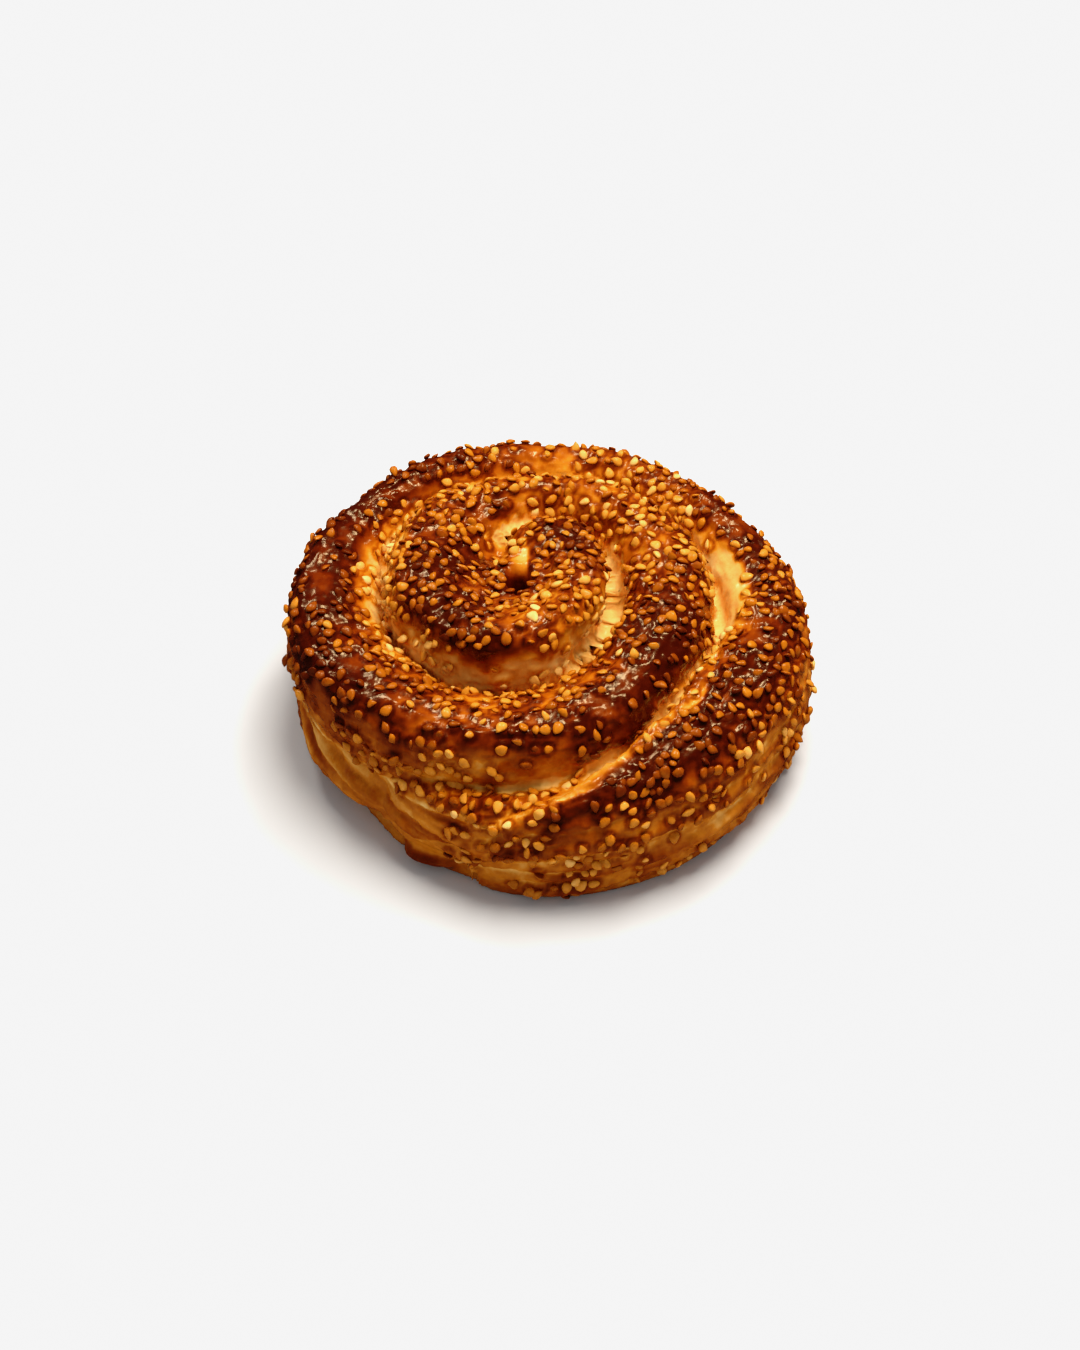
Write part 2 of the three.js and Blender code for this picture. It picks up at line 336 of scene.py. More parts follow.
class Skin:
    """A closed skin of four-sided faces, held as arrays of points and faces."""

    def __init__(self, points, faces):
        self.points, self.faces = points, faces
        edges = np.concatenate([faces[:, [k, (k + 1) % 4]] for k in range(4)])
        self.edges = np.unique(np.sort(edges, axis=1), axis=0)
        self.degree = np.bincount(self.edges.ravel(), minlength=len(points))

    def around(self, values):
        """The mean of each point's neighbours."""
        a, b = self.edges.T
        count = len(self.points)
        total = np.stack([np.bincount(a, column[b], count) + np.bincount(b, column[a], count)
                          for column in values.reshape(count, -1).T], axis=-1)
        return (total / self.degree[:, None]).reshape(values.shape)

    def smooth(self, values, times):
        """Moves every value halfway to its neighbours' mean, a number of times."""
        for _ in range(times):
            values = values + 0.5 * (self.around(values) - values)
        return values

    def normals(self):
        """Each face's normal is the cross product of its diagonals, added up at its corners."""
        corners = self.points[self.faces]
        facing = np.cross(corners[:, 2] - corners[:, 0], corners[:, 3] - corners[:, 1])
        corner, count = self.faces.ravel(), len(self.points)
        total = np.stack([np.bincount(corner, np.repeat(column, 4), count)
                          for column in facing.T], axis=-1)
        return total / np.linalg.norm(total, axis=1, keepdims=True)

    def largest_part(self):
        """Which points are in the largest joined part. Every point takes the lowest number among
        its neighbours until nothing changes."""
        label = np.arange(len(self.points))
        a, b = self.edges.T
        while True:
            lowest = label.copy()
            np.minimum.at(lowest, a, label[b])
            np.minimum.at(lowest, b, label[a])
            lowest = lowest[lowest]
            if np.array_equal(lowest, label):
                break
            label = lowest
        return label == np.bincount(label).argmax()

    def outermost(self):
        """The largest joined part as a skin of its own."""
        keep = self.largest_part()
        number = np.cumsum(keep) - 1
        return Skin(self.points[keep], number[self.faces[keep[self.faces[:, 0]]]])


def plan_place(points):
    """Each point's place in plan from the coil's centre, and its distance from there."""
    x, y = (points[:, :2] - COIL_CENTRE).T
    return x, y, np.hypot(x, y)


def rope_place(points):
    """Where each point lies on the rope: the coil angle and the place round the section of the
    turn whose skin is nearest, and how far the next turn's skin is, in half widths. A turn's
    skin formula is run backwards, for each turn that passes the point's bearing."""
    x, y, distance = plan_place(points)
    bearing = np.degrees(np.arctan2(-y, x)) % 360
    angle = bearing[:, None] + 360 * np.arange(-1, 3)
    inner = inner_edge(angle)
    half_width = (outer_edge(angle) - inner) / 2
    height = crest_height(angle)
    belly = BELLY_LEVEL * height
    rise = signed_power((points[:, 2:] - belly) / (height - belly), 1 / TOP_POWER)
    lean = crest_lean(angle) * np.maximum(rise, 0) ** 1.5
    across = (distance[:, None] - inner - half_width) / half_width - lean
    lap = np.where(across < 0, 1 + INNER_LAP * np.clip((angle - 200) / 90, 0, 1), 1)
    side = signed_power(across / lap, 1 / SIDE_POWER)
    outside = np.hypot(side, rise) - 1
    outside[(angle < TIP) | (angle > TAIL)] = 9
    order = np.argsort(np.abs(outside), axis=1)
    row = np.arange(len(points))
    near, other = order[:, 0], order[:, 1]
    around = np.degrees(np.arctan2(rise[row, near], side[row, near]))
    return angle[row, near], around, np.maximum(outside[row, other], 0)


# ---- The crust ----

lip_distance = curve_through(*[row[:2] for row in tail_lip])
lap_level = curve_through((80, 30), (109, 26), (135, 22), (162, 21.5), (200, 17), (260, 12))
low_level = curve_through((80, 19), (110, 15), (130, 9), (144, 3), (154, -3))


def on_the_left(angle, around):
    """1 on the lower left side, where the dough lies in layers, fading out at its ends."""
    bearing = angle % 360
    fading = rise_between(bearing, 97, 107) * rise_between(-bearing, -205, -182)
    return fading * (angle > 440) * (around < 60)


def beside_knob(points):
    """1 in the groove on the knob's right, fading out towards its front and back."""
    x, _, from_centre = plan_place(points)
    to_the_right = rise_between(x / np.maximum(from_centre, 1), 0.45, 0.8)
    return to_the_right * rise_between(-from_centre, -37, -33)


def past_the_lip(points, angle):
    """How far each point near the tail lies outside the lip's ridge; 99 elsewhere."""
    _, _, from_centre = plan_place(points)
    return np.where(angle > 738, from_centre - lip_distance(angle), 99)


def pit_distance(points):
    """How far each point is from the pit in the knob, which is longer from front to back."""
    x, y, _ = plan_place(points)
    return np.hypot(x, y * 0.7)


def below_edges(points, angle):
    """How far each point lies below the two wavy edges on the left: the lap's, and that of the
    layer under it."""
    depth = 0.9 * lattice_noise(points, 7, 41) - points[:, 2]
    return depth + lap_level(angle % 360), depth + low_level(angle % 360)


def crease_noise(points, angle):
    """Noise drawn out along the layers on the left, which climb a little towards the back."""
    climbing = points[:, 2] - 0.12 * (angle % 360)
    place = np.stack([np.radians(angle) * 9, climbing, 0 * climbing], axis=-1)
    return rough_noise(place, 2.8, 43)


def seam_push(points, along, gap):
    """Draws the dough in where two turns meet, with small teeth, and more beside the knob."""
    _, _, from_centre = plan_place(points)
    off_knob = rise_between(from_centre, 17, 23)
    near_seam = hump(gap, 0, 0.16) * off_knob * (points[:, 2] > 24)
    teeth = 1.5 * lattice_noise(along * (1, 0.35, 0.3), 2.4, 37) - 1.6
    return near_seam * teeth - 2.2 * hump(gap, 0, 0.3) * beside_knob(points) * off_knob


def layer_push(points, angle, left, below_lap):
    """Draws the dough in below each of the two edges on the left, and creases it there."""
    past_lap, past_low = below_edges(points, angle)
    steps = 0.9 * rise_between(past_lap, 0, 1) + rise_between(past_low, 0, 1.2)
    return 0.55 * below_lap * crease_noise(points, angle) - left * steps


def fine_push(points, along, below_lap):
    """Wrinkles along the rope, small wrinkles all over, and blisters in patches."""
    lengthwise = 0.45 * rough_noise(along * (0.16, 1, 1), 3.4, 11)
    wrinkle = 0.3 * rough_noise(points, 2.6, 31, 2)
    blister = 0.55 * rise_between(-blister_distance(points, 3.1, 21), -0.5, -0.1)
    blister *= rise_between(lattice_noise(points, 11, 23), -0.4, 0.3)
    return lengthwise + wrinkle + blister * (1 - 0.8 * below_lap)


def shaped_crust(skin):
    """Works the smooth skin into baked crust: each feature pushes the points out or in along
    the skin's normals, less near the ground and on the flange, and the pit sinks last."""
    points, normals = skin.points, skin.normals()
    angle, around, gap = rope_place(points)
    z = points[:, 2]
    bearing = angle % 360
    left = on_the_left(angle, around)
    below_lap = left * rise_between(lap_level(bearing) - z, 0, 2)
    along = np.stack([np.radians(angle) * 50, around * 0.35, 0.2 * z], axis=-1)

    swell = 0.9 * lattice_noise(points, 19, 3) + 0.5 * lattice_noise(points, 9, 4)
    side_wall = rise_between(-around, -50, -15) * rise_between(np.abs(normals[:, 2]), 0.9, 0.6)
    folds_low = 1.2 * side_wall * rough_noise(along * (0.12, 1, 1), 4.2, 17)
    rough_patches = 1 - 0.85 * hump(angle, 712, 14) * rise_between(around, 100, 112)
    push = swell + folds_low + seam_push(points, along, gap)
    push += layer_push(points, angle, left, below_lap)
    push += rough_patches * fine_push(points, along, below_lap)
    on_flange = hump(bearing, 112, 12) * rise_between(-z, -9, -5)
    push *= rise_between(z, 0.2, 3) * (1 - 0.75 * on_flange)

    moved = points + normals * push[:, None]
    moved[:, 2] -= PIT_DEPTH * hump(pit_distance(points), 0, PIT_WIDTH) * (z > 35)
    moved[:, 2] = np.maximum(moved[:, 2], 0)
    return Skin(moved, skin.faces)


# How brown each band of the rope is baked along its length, from its inner side, over its
# crest, to the foot of its outer wall. Each band has its place round the section.
inner_tone = curve_through(
    (TIP, 0.35), (0, 0.4), (110, 0.45), (180, 0.55), (270, 0.4), (385, 0.5), (450, 0.35),
    (505, 0.3), (540, 0.2), (570, 0.14), (620, 0.15), (680, 0.16), (710, 0.1), (765, 0.2),
    (800, 0.5))
top_tone = curve_through(
    (TIP, 0.42), (-40, 0.58), (50, 0.42), (110, 0.5), (140, 0.85), (200, 0.88), (250, 0.7),
    (290, 0.45), (320, 0.45), (385, 0.7), (440, 0.48), (500, 0.6), (530, 0.82), (565, 0.88),
    (610, 0.55), (670, 0.44), (700, 0.65), (740, 0.5), (770, 0.36), (800, 0.75))
crest_tone = curve_through(
    (TIP, 0.42), (-40, 0.9), (0, 0.6), (60, 0.42), (110, 0.62), (145, 0.95), (190, 0.8),
    (240, 0.5), (290, 0.42), (350, 0.55), (385, 0.95), (415, 0.75), (440, 0.66), (465, 0.5),
    (500, 0.98), (560, 0.95), (640, 0.5), (670, 0.55), (700, 0.78), (740, 0.85), (800, 0.68))
shoulder_tone = curve_through(
    (TIP, 0.5), (-40, 0.8), (50, 0.4), (80, 0.62), (110, 0.98), (150, 0.7), (190, 0.34),
    (300, 0.5), (350, 0.55), (410, 0.95), (440, 0.68), (470, 0.66), (510, 0.92), (530, 0.95),
    (600, 0.75), (680, 0.6), (720, 0.65), (770, 0.88), (TAIL, 0.7))
wall_tone = curve_through(
    (TIP, 0.4), (40, 0.0), (110, 0.05), (190, 0.0), (350, 0.5), (410, 0.72), (440, 0.4),
    (470, 0.38), (500, 0.58), (600, 0.56), (700, 0.46), (TAIL, 0.44))
foot_tone = curve_through(
    (TIP, 0.3), (40, -0.1), (110, -0.1), (250, 0), (400, 0.4), (450, 0.32), (500, 0.42),
    (600, 0.46), (700, 0.42), (TAIL, 0.4))
tone_bands = (
    (150, inner_tone), (112, top_tone), (86, crest_tone), (58, shoulder_tone), (28, wall_tone),
    (-8, foot_tone))
BAND_WIDTH = 19


def blended(bake, share, tone):
    """The baking drawn towards another tone by a share from 0 to 1."""
    return bake + share * (tone - bake)


def from_the_foot(around):
    """Places round the section counted on past 180 at the inner side, up to 270 underneath."""
    return np.where(around < -90, around + 360, around)


class Oven:
    """What the baking depends on at each point: the place on the rope before the crust was
    worked, a wandering copy of the place round the section, and streaks along the rope."""

    def __init__(self, skin, bare):
        self.points, self.bare = skin.points, bare.points
        self.angle, around, self.gap = rope_place(bare.points)
        self.around = from_the_foot(around)
        self.wander = np.clip(self.around, -30, 160) + 11 * rough_noise(self.points, 7, 45, 2)
        along = (np.radians(self.angle) * 9, self.around * 0.16, 0.3 * self.points[:, 2])
        self.streak = rough_noise(np.stack(along, axis=-1), 2.2, 67)
        self.left = on_the_left(self.angle, self.around)
        self.hollow = np.einsum("ij,ij->i", skin.smooth(skin.points, 60) - skin.points, skin.normals())

    def bands(self):
        """Bands along the rope, each with its own tone, fade into each other round the section
        and are mottled, less where they are pale."""
        shares = [hump(self.wander, middle, BAND_WIDTH) + 1e-9 for middle, _ in tone_bands]
        tones = [band(self.angle) for _, band in tone_bands]
        tone = sum(share * own for share, own in zip(shares, tones)) / sum(shares)
        mottle = 0.12 * rough_noise(self.points, 8, 51) + 0.07 * rough_noise(self.points, 2.6, 57, 2)
        return tone + mottle * (0.3 + 0.7 * rise_between(tone, 0.05, 0.4)) + 0.07 * self.streak

    def layers(self, bake):
        """The layers on the left are paler, palest along the lap's edge."""
        past_lap, past_low = below_edges(self.bare, self.angle)
        under_lap = self.left * rise_between(past_lap, 0, 1)
        bake = blended(bake, under_lap, 0.44 - 0.2 * crease_noise(self.bare, self.angle))
        bake = blended(bake, self.left * rise_between(past_low, 0, 1.2), 0.33 + 0.06 * self.streak)
        return bake - 0.25 * self.left * hump(past_lap, 0, 0.7)

    def seams(self):
        """1 deep in the seams between the turns, which stay pale."""
        _, _, from_centre = plan_place(self.points)
        off_knob = 0.15 + 0.85 * rise_between(from_centre, 18, 24)
        return rise_between(self.hollow, 0.0, 1.0) * off_knob * (1 - 0.7 * self.left)

    def pale_walls(self, bake, seam):
        """The seams, the walls beside them and the bald patch on the right stay pale."""
        angle, around, streak = self.angle, self.around, self.streak
        inner_wall = 0.9 * rise_between(around, 112, 136) * rise_between(angle, 490, 535)
        right_wall = 0.85 * hump(angle, 712, 16) * rise_between(around, 104, 122)
        outer_wall = rise_between(-self.gap, -0.6, 0.0) * rise_between(-self.wander, -50, -15)
        outer_wall *= 0.85 * rise_between(angle, 20, 60)
        by_knob = 0.85 * hump(self.gap, 0, 0.25) * beside_knob(self.points)
        walls = np.maximum.reduce([seam, inner_wall, right_wall, outer_wall, by_knob])
        bake = blended(bake, np.clip(walls * (1 + 0.3 * streak), 0, 1), 0.12 + 0.10 * streak)
        bald = 0.9 * hump(angle, 712, 15) * rise_between(around, 104, 116)
        return blended(bake, bald, 0.17 + 0.03 * streak)

    def tail(self, bake):
        """The lip at the tail is pale on its ridge, and the dough outside it is dark."""
        angle, streak, z = self.angle, self.streak, self.points[:, 2]
        past_lip = past_the_lip(self.bare, angle)
        burnt = rise_between(past_lip + 1.2 * streak, 1.8, 3.2)
        burnt *= rise_between(-past_lip - 2 * streak, -9, -4) * rise_between(angle, 740, 752)
        burnt *= rise_between(-angle, -812, -790) * rise_between(z, 20, 32)
        ridge = hump(past_lip, 0, 1.9) * rise_between(angle, 752, 776) * rise_between(z, 18, 26)
        bake = blended(bake, burnt, 0.9 + 0.1 * streak)
        return blended(bake, ridge, 0.22 + 0.14 * streak)

    def flange(self, bake):
        """The flange at the lower left is dark."""
        on_flange = hump(self.angle % 360, 111, 9) * rise_between(-self.points[:, 2], -7, -5)
        return blended(bake, on_flange, 0.74 + 0.3 * self.streak)

    def knob(self, bake):
        """Behind the pit the knob's top has a pale patch with a rayed edge; the pit gets painted
        shade, darkest in its middle and fainter round its rim.
        """
        x, y, _ = plan_place(self.points)
        z = self.points[:, 2]
        rays = lattice_noise(self.points * (1, 0.12, 0), 1.5, 81)
        from_patch = np.hypot(x / 3.2, (y - 9) / 8)
        patch = 0.85 * rise_between(-from_patch - 0.4 * rays, -1.3, -0.5) * (z > 40)
        bake = blended(bake, patch, 0.14 + 0.1 * rays)
        from_pit = pit_distance(self.points)
        # Painted shade in the pit, darkest in its middle, with a fainter ring round it.
        return bake + (1.3 * hump(from_pit, 0, 2.2) + 0.36 * hump(from_pit, 0, 5.5)) * (z > 20)


def baking(skin, bare):
    """How brown each point is baked, from 0 for pale dough to 1 for mahogany, with painted shade
    added in the knob's pit, and how deep it lies in a seam. What stands out of its surroundings is
    a little browner."""
    oven = Oven(skin, bare)
    seam = oven.seams()
    bake = oven.pale_walls(oven.layers(oven.bands()), seam)
    bake = oven.flange(oven.tail(bake)) + 0.1 * rise_between(-oven.hollow, 0.1, 1.1)
    return np.clip(oven.knob(bake), 0, 1), seam


def bun_dough():
    """The rope in three overlapping lengths, the thin strands and the fillers, melted into one
    skin that stands on the ground."""
    spans = ((TIP, TIP + 318), (TIP + 312, TIP + 630), (TIP + 624, TAIL))
    grids = [sweep(rope_skin, start, end, 260, 72) for start, end in spans]
    for rows, start_length, end_length in strands:
        skin = thin_strand(rows, start_length, end_length)
        grids.append(sweep(skin, rows[0][0], rows[-1][0], 90, 24))
    grids += [dome(*KNOB_DOME), block(COIL_CENTRE, *COIL_BLOCK), block((0, 0), *FOOT_BLOCK)]
    for grid in grids:
        grid[..., 2] = np.maximum(grid[..., 2], 0)
    return Skin(*voxel_skin(grids, VOXEL)).outermost()


def softened(skin):
    """The skin smoothed all over, and far more on top of the knob."""
    skin.points = skin.smooth(skin.points, 4)
    _, _, from_centre = plan_place(skin.points)
    soft = rise_between(-from_centre, -20, -13)[:, None]
    skin.points += soft * (skin.smooth(skin.points, 60) - skin.points)
    skin.points[:, 2] = np.maximum(skin.points[:, 2], 0)
    return skin


def longest_rim(faces):
    """The longest loop of edges round a patch of faces, each edge in its face's own direction."""
    edges = np.concatenate([faces[:, [k, (k + 1) % 4]] for k in range(4)])
    way = {(a, b) for a, b in edges.tolist()}
    following = {a: b for a, b in way if (b, a) not in way}
    loops = []
    while following:
        first, after = following.popitem()
        loop = [first]
        while after != first:
            loop.append(after)
            after = following.pop(after)
        loops.append(loop)
    return max(loops, key=len)


def plain_underside(points, faces):
    """Puts one many-sided face in place of all the faces that lie flat on the ground and of the
    hollows among them. Says which points are still in use, and gives the faces with those points
    numbered afresh."""
    flat = (points[faces][:, :, 2] < GROUND).all(axis=1)
    sides = faces[~flat]
    used = Skin(points, sides).largest_part()
    number = np.cumsum(used) - 1
    kept = number[sides[used[sides[:, 0]]]]
    return used, kept.tolist() + [number[longest_rim(faces[flat])].tolist()]


def piece_from(name, points, faces, material, attributes):
    """An object whose mesh holds the points, in metres, with the given values stored on them."""
    mesh = bpy.data.meshes.new(name)
    mesh.from_pydata((points * MM).tolist(), [], faces)
    for key, values in attributes.items():
        mesh.attributes.new(key, "FLOAT", "POINT").data.foreach_set("value", values)
    mesh.materials.append(material)
    mesh.shade_smooth()
    piece = bpy.data.objects.new(name, mesh)
    bpy.context.scene.collection.objects.link(piece)
    return piece


# ---- Sesame seeds ----

def seed_shape():
    """One seed: a flattened drop along X with blunt ends and a boxy section. Its half width is
    the power 0.65 of a half sine wave, plumper towards one end."""
    rings, sides = 5, 8
    share = np.linspace(0, 1, rings + 2)[1:-1, None]
    turn = np.radians(np.linspace(0, 360, sides, endpoint=False) + 22.5)[None, :]
    plump = np.sin(math.pi * share) ** 0.65 * (1.3 - 0.6 * share)
    x = (share - 0.5) * SEED_LENGTH + 0 * turn
    y = plump * signed_power(np.cos(turn), 0.8) * SEED_WIDTH / 2
    z = plump * signed_power(np.sin(turn), 0.8) * SEED_THICKNESS / 2
    body = np.stack([x, y, z], axis=-1).reshape(-1, 3)
    tips = np.array([(-SEED_LENGTH / 2, 0, 0), (SEED_LENGTH / 2, 0, 0)])
    blunt, point, last = rings * sides, rings * sides + 1, (rings - 1) * sides
    sectors = [(a, (a + 1) % sides) for a in range(sides)]
    fans = [[blunt, b, a] for a, b in sectors] + [[point, last + a, last + b] for a, b in sectors]
    return np.concatenate([body, tips]), grid_quads(rings, sides).tolist() + fans


coverage = curve_through(
    (TIP, 0.9), (60, 0.9), (90, 0.7), (160, 0.8), (280, 1), (370, 1), (400, 0.5), (425, 0.4),
    (450, 0.9), (490, 0.95), (520, 0.5), (600, 0.42), (660, 0.9), (720, 0.8), (760, 0.7),
    (800, 1.2), (TAIL, 1.2))


def facing_up(skin):
    """1 where the skin faces up, 0 where it faces sideways or down."""
    return rise_between(skin.normals()[:, 2], -0.1, 0.7)


def bald_places(points, angle, around, gap):
    """1 where no seeds lie and less where few do. In turn: the bald patch on the right, the
    crest there, the layers on the left, the lip, the dough outside it, the pit, the pale patch
    behind it, the inner wall of the last turn and the groove beside the knob."""
    x, y, from_centre = plan_place(points)
    past_lip = past_the_lip(points, angle)
    return np.maximum.reduce([
        hump(np.clip(angle, 704, 720), angle, 12) * rise_between(around, 98, 118),
        0.8 * hump(angle, 425, 22) * hump(around, 85, 30),
        on_the_left(angle, around) * (points[:, 2] < lap_level(angle % 360)),
        hump(past_lip, 0, 3) * rise_between(angle, 752, 776),
        0.75 * hump(past_lip, 5, 3) * (points[:, 2] > 26),
        rise_between(-from_centre, -4.2, -3.2),
        0.85 * rise_between(-np.hypot(x / 3.4, (y - 8) / 7), -1.2, -0.8),
        0.5 * rise_between(around, 112, 128) * rise_between(angle, 490, 535),
        0.4 * hump(gap, 0, 0.3) * beside_knob(points)])


def seeds_wanted(skin, seam):
    """How densely seeds lie at each point: by the place along the rope, thick on what faces up
    and thin on the walls, in patches, with none near the ground."""
    points = skin.points
    angle, around, gap = rope_place(points)
    around = from_the_foot(around)
    bearing = angle % 360
    front = rise_between(-np.abs(bearing - 95), -55, -20) * rise_between(angle, 400, 440)
    on_walls = 0.03 + 0.25 * front * rise_between(around, -60, -20)
    wanted = coverage(angle) * (on_walls + (1 - on_walls) * facing_up(skin) ** 2)
    wanted *= (1 - 0.92 * seam) * (1 - bald_places(points, angle, around, gap))
    wanted *= points[:, 2] > 3 + 8 * hump(bearing, 113, 14)
    return wanted * (0.12 + rise_between(lattice_noise(points, 9, 71), -0.5, 0.4))


def seed_spots(skin, seam, rng):
    """Scatters seeds by throwing darts: points picked by chance in the measure that seeds are
    wanted there, each kept if no earlier seed lies closer than its spacing."""
    wanted = seeds_wanted(skin, seam)
    tries = rng.choice(len(wanted), SEED_TRIES, replace=False, p=wanted / wanted.sum())
    spacing = SEED_SPACING + SPACING_SPREAD * rng.random(SEED_TRIES)
    places = skin.points[tries]
    kept = [0]
    for k in range(1, SEED_TRIES):
        if np.linalg.norm(places[kept] - places[k], axis=1).min() > spacing[k]:
            kept.append(k)
    return tries[kept]


def distance_to_seeds(skin, spots):
    """How far each point of the crust is from the nearest seed's centre."""
    tree = KDTree(len(spots))
    for number, spot in enumerate(skin.points[spots]):
        tree.insert(spot, number)
    tree.balance()
    return np.array([tree.find(point)[2] for point in skin.points])


def seed_axes(normals, rng):
    """Each seed's own axes: it is tilted a little off the crust's normal and turned by chance."""
    up = normals + 0.3 * rng.normal(size=normals.shape)
    up /= np.linalg.norm(up, axis=1, keepdims=True)
    way = rng.normal(size=normals.shape)
    way -= up * np.einsum("ij,ij->i", way, up)[:, None]
    way /= np.linalg.norm(way, axis=1, keepdims=True)
    return np.stack([way, np.cross(up, way), up], axis=1)


def sesame_seeds(skin, spots, bake, material, rng):
    """All the seeds in one mesh: each is the seed shape, scaled and dented a little, bent, and
    laid on the crust or sunk into it. Some are glazed over and as brown as the crust; all get
    painted shade round the foot, darker towards their undersides."""
    normals = skin.normals()[spots]
    count = len(spots)
    axes = seed_axes(normals, rng)
    shape, shape_faces = seed_shape()

    size = rng.uniform(0.78, 1.15, (count, 1, 1))
    width, thickness = rng.uniform(0.88, 1.12, count), rng.uniform(0.85, 1.15, count)
    size = size * np.stack([np.ones(count), width, thickness], axis=-1)[:, None]
    glazed = rng.random(count) < GLAZED_SHARE
    deep, shallow = rng.uniform(-0.22, 0.1, count), rng.uniform(-0.08, 0.3, count)
    lift = np.where(glazed, deep, shallow) * SEED_THICKNESS
    centres = skin.points[spots] + normals * lift[:, None]

    places = (shape * 0.55 + rng.uniform(0, 30, (count, 1, 3))).reshape(-1, 3)
    dents = np.stack([lattice_noise(places, 1.0, 91 + k) for k in range(3)], axis=-1)
    body = shape * size + 0.26 * dents.reshape(count, -1, 3)
    body[..., 1] += 0.08 * rng.normal(size=(count, 1)) * (shape[:, 0] ** 2 - 0.8)
    points = np.einsum("nvi,nij->nvj", body, axes) + centres[:, None]

    own_toast = np.where(glazed, bake[spots] * 0.9, 0.13 + 0.66 * bake[spots])
    own_toast += rng.normal(0, 0.15, count)
    # Painted shade round each seed's foot: darker towards its underside.
    foot = rise_between(-shape[:, 2] / SEED_THICKNESS, -0.2, 0.35)
    toast = np.clip(own_toast[:, None] + 0.4 * foot, 0, 1)
    faces = [[corner + seed * len(shape) for corner in face]
             for seed in range(count) for face in shape_faces]
    return piece_from("sesame_seeds", points.reshape(-1, 3), faces, material, {"toast": toast.ravel()})


# ---- Finishes ----

class Socket:
    """A node's output that arithmetic works on: each operation adds the Math node for it."""

    def __init__(self, finish, socket):
        self.finish, self.socket = finish, socket

    def math(self, operation, first, second):
        """A Math node on two values."""
        return self.finish.node("ShaderNodeMath", {"operation": operation}, {0: first, 1: second})

    def __add__(self, other):
        return self.math("ADD", self, other)

    def __radd__(self, other):
        return self.math("ADD", other, self)

    def __sub__(self, other):
        return self.math("SUBTRACT", self, other)

    def __rsub__(self, other):
        return self.math("SUBTRACT", other, self)

    def __mul__(self, other):
        return self.math("MULTIPLY", self, other)

    def __rmul__(self, other):
        return self.math("MULTIPLY", other, self)


class Finish:
    """A material that is written node by node."""

    def __init__(self, name):
        self.material = bpy.data.materials.new(name)
        self.material.use_nodes = True
        self.tree = self.material.node_tree
        self.tree.nodes.clear()

    def node(self, kind, settings=None, sockets=None, output=0):
        """Adds a node: its settings first, with a ramp's stops among them, then the values or
        links of its sockets."""
        node = self.tree.nodes.new(kind)
        for key, value in (settings or {}).items():
            if key == "stops":
                self.set_stops(node.color_ramp, value)
            else:
                setattr(node, key, value)
        for key, value in (sockets or {}).items():
            if isinstance(value, Socket):
                self.tree.links.new(value.socket, node.inputs[key])
            else:
                node.inputs[key].default_value = value
        return Socket(self, node.outputs[output])

    def set_stops(self, ramp, stops):
        """Gives a colour ramp its stops, each a place and a colour."""
        while len(ramp.elements) < len(stops):
            ramp.elements.new(1)
        for element, (place, colour) in zip(ramp.elements, stops):
            element.position = place
            element.color = (*colour, 1)

    def stored(self, name):
        """The values stored on the mesh's points under a name."""
        return self.node("ShaderNodeAttribute", {"attribute_name": name}, output="Fac")

    def noise(self, scale, detail=3.0, roughness=0.55):
        """Noise from 0 to 1 in the object's own space, with about scale grains to the metre."""
        where = self.node("ShaderNodeTexCoord", output="Object")
        return self.node("ShaderNodeTexNoise", {}, {
            "Vector": where, "Scale": scale, "Detail": detail, "Roughness": roughness})

    def bump(self, height, strength, distance):
        """Normals tilted as if the surface rose and fell with the height."""
        return self.node("ShaderNodeBump", {}, {
            "Height": height, "Strength": strength, "Distance": distance}, output="Normal")

    def ramp(self, value, stops):
        """The colour for each value from 0 to 1."""
        return self.node("ShaderNodeValToRGB", {"stops": stops}, {"Fac": value})

    def surface(self, sockets):
        """Ends the material with a Principled shader."""
        return self.ending(self.node("ShaderNodeBsdfPrincipled", {}, sockets))

    def ending(self, shader):
        """Ends the material with the given shader."""
        end = self.tree.nodes.new("ShaderNodeOutputMaterial")
        self.tree.links.new(shader.socket, end.inputs["Surface"])
        return self.material


def baked_crust():
    """Egg-washed crust: its colour runs from cream dough through golden brown to mahogany with
    the baking stored on its points, which also holds painted shade in the knob's pit and round
    every seed, broken up by fine speckle."""
    finish = Finish("baked_crust")
    speckle = finish.noise(900, 4, 0.6) - 0.5
    patches = finish.noise(260, 3, 0.6) - 0.5
    tone = finish.stored("bake") + speckle * 0.14 + patches * 0.14
    colour = finish.ramp(tone, [
        (0.0, (0.86, 0.55, 0.18)), (0.14, (0.76, 0.37, 0.09)), (0.32, (0.55, 0.165, 0.012)),
        (0.5, (0.32, 0.064, 0.002)), (0.68, (0.17, 0.024, 0.0008)), (0.85, (0.082, 0.009, 0.0005)),
        (1.0, (0.036, 0.0035, 0.0004))])
    grain = finish.noise(1100, 1)
    blisters = finish.noise(230, 0.5)
    return finish.surface({
        "Base Color": colour, "Roughness": 0.18 + 0.12 * finish.noise(700, 2),
        "Normal": finish.bump(grain * 0.04 + blisters, 1.0, 0.0013),
        "Specular IOR Level": 0.6, "Specular Tint": (1.0, 0.7, 0.36, 1)})


